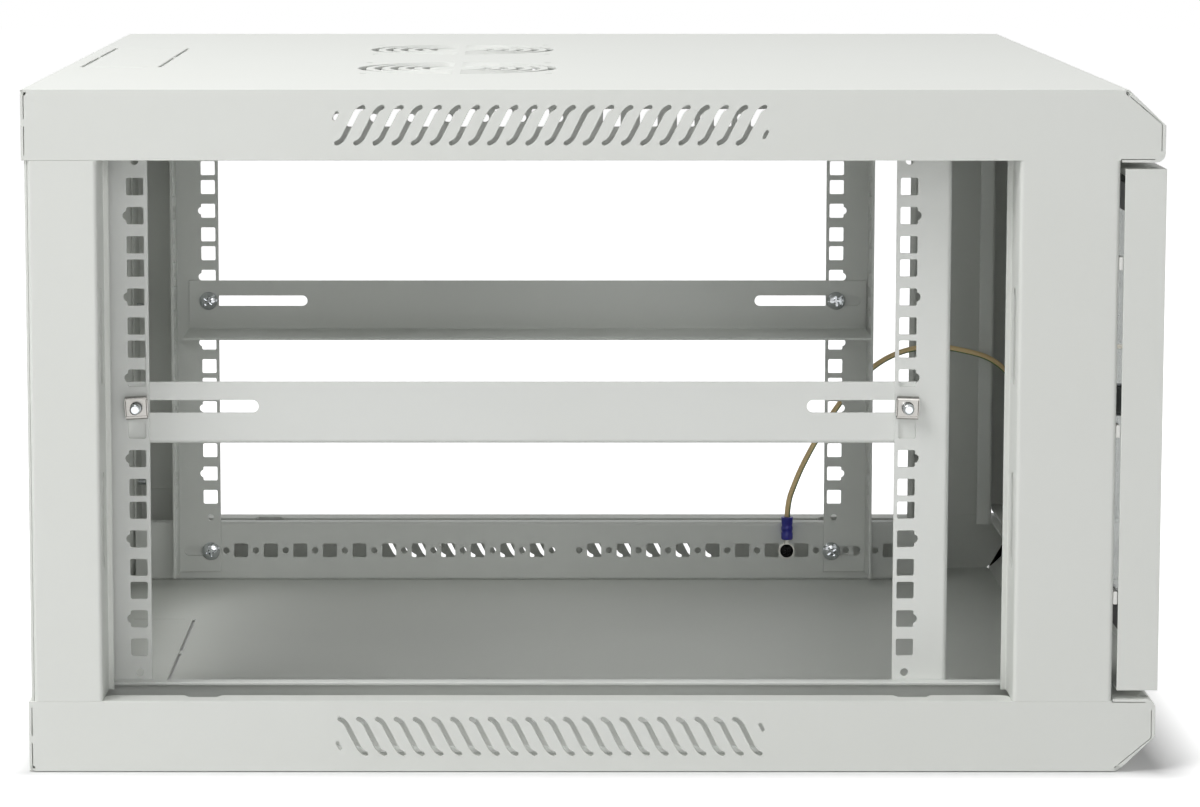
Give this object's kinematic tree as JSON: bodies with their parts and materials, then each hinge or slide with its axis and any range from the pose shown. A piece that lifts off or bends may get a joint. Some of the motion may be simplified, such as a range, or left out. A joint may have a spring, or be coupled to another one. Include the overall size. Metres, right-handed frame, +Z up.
{
  "type": "wall mount network cabinet",
  "caption": "Wall mount network cabinet with both side panels off: folded steel cover and tray, posts, 19-inch rails, side brackets, vented skirts and a hinged glass door with a cam lock.",
  "frame": {"origin": "middle of the base of the whole cabinet, on the floor plane", "axes": "+X to the hinge side (right as seen from the door), -Y out of the door, +Z up"},
  "size_m": [0.6, 0.608, 0.368],
  "materials": {
    "powder_coat": "light grey fine-textured powder coat, satin",
    "rail_coat": "light grey powder coat, satin",
    "zinc_plate": "bright zinc plate",
    "nickel_plate": "nickel plate",
    "spring_steel": "drawn spring wire",
    "lock_chrome": "polished chrome",
    "door_glass": "clear tempered glass",
    "rubber": "matt black rubber",
    "nylon": "natural nylon",
    "earth_insulation": "yellow wire insulation with a green stripe",
    "sleeve_vinyl": "blue vinyl sleeve"
  },
  "bodies": {
    "cabinet": {"top_cover": "powder_coat", "bottom_tray": "powder_coat", "rear_panel": "powder_coat", "rear_left_post": "powder_coat", "rear_right_post": "powder_coat", "front_left_post": "powder_coat", "front_right_post": "powder_coat", "bottom_left_strut": "rail_coat", "bottom_right_strut": "rail_coat", "top_left_strut": "rail_coat", "top_right_strut": "rail_coat", "front_left_rail": "rail_coat", "front_right_rail": "rail_coat", "rear_left_rail": "rail_coat", "rear_right_rail": "rail_coat", "left_side_bracket": "rail_coat", "right_side_bracket": "rail_coat", "bracket_screws": "zinc_plate", "bracket_cage_nuts": "nickel_plate", "rail_screws": "zinc_plate", "rail_cage_nuts": "nickel_plate", "cable_entry_trim": "rubber", "rear_panel_screws": "zinc_plate", "door_bumpers": "nylon", "earth_bolt": "zinc_plate", "cabinet_terminal": "nickel_plate", "cabinet_sleeve": "sleeve_vinyl", "earth_wire": "earth_insulation"},
    "door": {"door_frame": "powder_coat", "door_glass": "door_glass", "glass_seal": "rubber", "upper_hinge_pin": "nickel_plate", "pin_guide": "zinc_plate", "lock_housing": "lock_chrome", "lock_nut": "zinc_plate", "earth_stud": "zinc_plate", "door_terminal": "nickel_plate", "door_sleeve": "sleeve_vinyl"},
    "lock": {"lock_plug": "lock_chrome", "lock_cam": "zinc_plate", "cam_screw": "zinc_plate"},
    "hinge_pin": {"lower_hinge_pin": "nickel_plate", "hinge_spring": "spring_steel"}
  },
  "joints": [
    {"name": "door_hinge", "type": "hinge", "parent": "cabinet", "child": "door", "pos_m": [0.2905, -0.2974, 0.185], "axis": [0, 0, 1], "range_deg": [0, 120], "deforming": ["earth_wire"]},
    {"name": "lock_turn", "type": "hinge", "parent": "door", "child": "lock", "pos_m": [-0.247, -0.29, 0.195], "axis": [0, 1, 0], "range_deg": [0, 90]},
    {"name": "pin_slide", "type": "slide", "parent": "door", "child": "hinge_pin", "axis": [0, 0, 1], "range_m": [0, 0.009], "stiffness_N_per_m": 300, "springref_m": -0.02, "deforming": ["hinge_spring"]}
  ]
}
